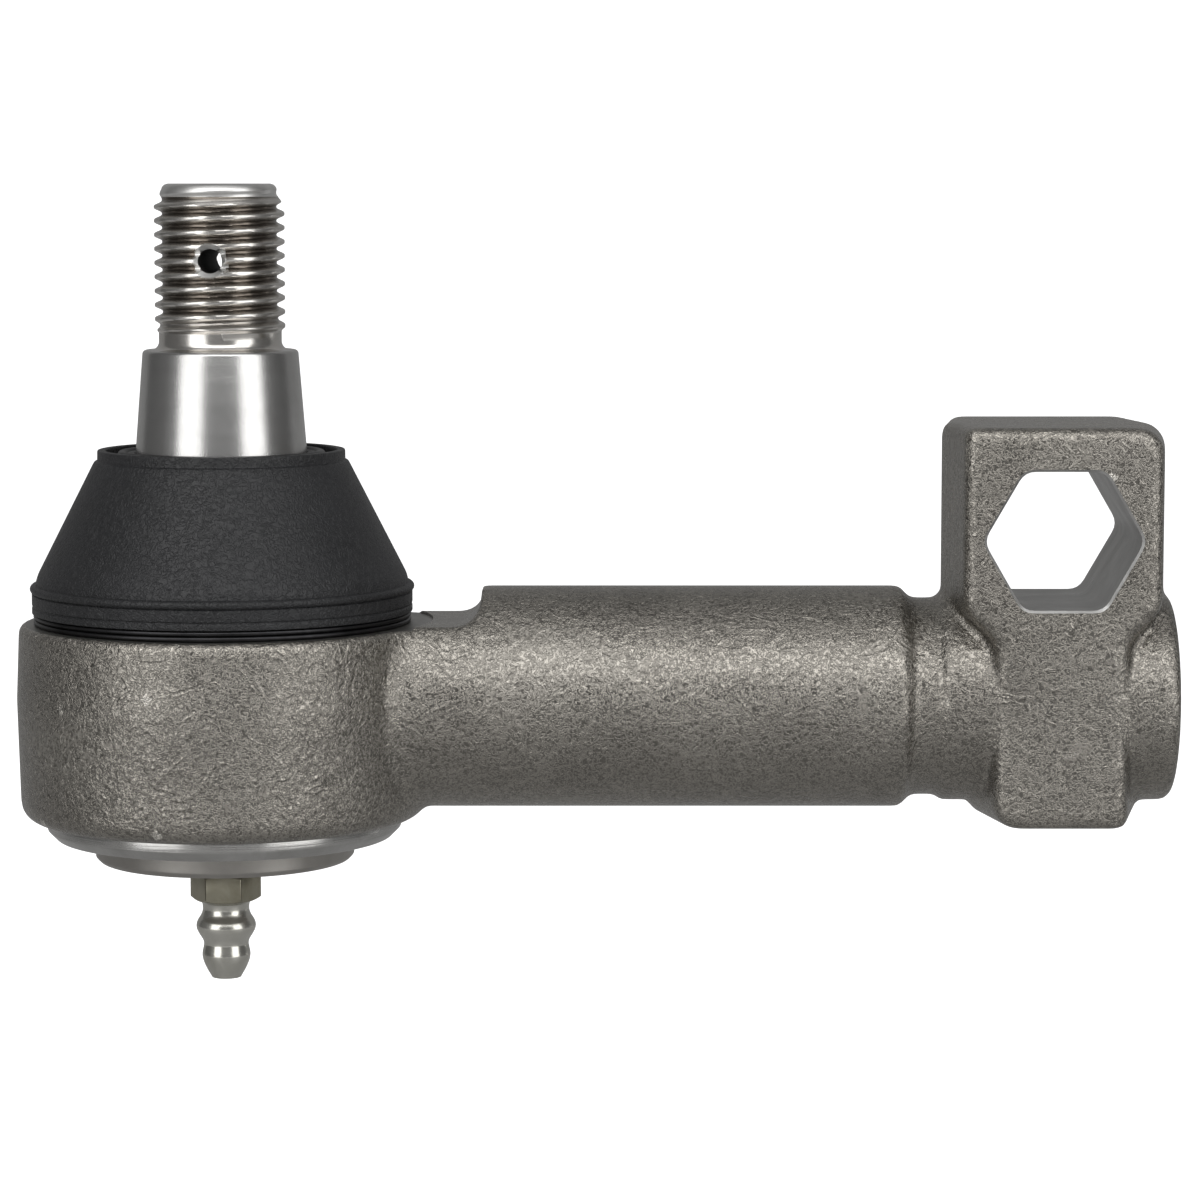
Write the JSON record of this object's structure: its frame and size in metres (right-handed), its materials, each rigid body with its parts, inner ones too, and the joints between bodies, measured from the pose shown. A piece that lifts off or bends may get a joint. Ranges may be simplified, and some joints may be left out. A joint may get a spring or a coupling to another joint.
{
  "type": "tie rod end",
  "caption": "Forged tie rod end: a greasable ball joint with a booted, tapered and threaded stud on a round arm with a threaded rod socket and a lug with a hexagonal hole.",
  "frame": {"origin": "centre of the threaded rod socket where its full wall starts, 1 mm inside the end face", "axes": "+X out of the rod socket along the shank, +Z along the ball stud towards its thread"},
  "size_m": [0.125, 0.0446, 0.0864],
  "materials": {
    "forging": "forged steel, shot-blasted and lightly oiled, with brighter edges",
    "bright_steel": "ground bright on the taper, rolled on the thread",
    "bearing_steel": "hardened and ground",
    "spring_steel": "oiled spring steel",
    "turned_steel": "turned, with fine circular tool marks",
    "seal_rubber": "smooth nitrile rubber",
    "zinc_plate": "zinc-plated, faintly yellow on the hexagon",
    "boot_rubber": "matt black moulded rubber with a fine grain",
    "blackened_wire": "blackened spring wire"
  },
  "bodies": {
    "arm": {"housing": "forging", "upper_race": "bearing_steel", "lower_race": "bearing_steel", "disc_spring": "spring_steel", "end_cover": "turned_steel", "cover_seal": "seal_rubber", "grease_nipple": "zinc_plate", "check_spring": "spring_steel", "boot_wire_ring": "blackened_wire"},
    "boot": {"dust_boot": "boot_rubber"},
    "boot_collar": {"boot_garter_ring": "blackened_wire"},
    "stud": {"ball_stud": "bright_steel"},
    "valve": {"check_ball": "bearing_steel"}
  },
  "joints": [
    {"name": "tilt_across", "type": "hinge", "parent": "arm", "child": "boot", "pos_m": [-0.1017, 0, 0], "axis": [1, 0, 0], "range_deg": [-14, 14], "deforming": ["dust_boot"]},
    {"name": "tilt_along", "type": "hinge", "parent": "boot", "child": "boot_collar", "pos_m": [-0.1017, 0, 0], "axis": [0, 1, 0], "range_deg": [-14, 14]},
    {"name": "stud_spin", "type": "hinge", "parent": "boot_collar", "child": "stud", "pos_m": [-0.1017, 0, 0], "axis": [0, 0, 1], "continuous": true},
    {"name": "valve_push", "type": "slide", "parent": "arm", "child": "valve", "axis": [0, 0, 1], "range_m": [0, 0.0006], "stiffness_N_per_m": 300, "springref_m": -0.0008, "deforming": ["check_spring"]}
  ]
}
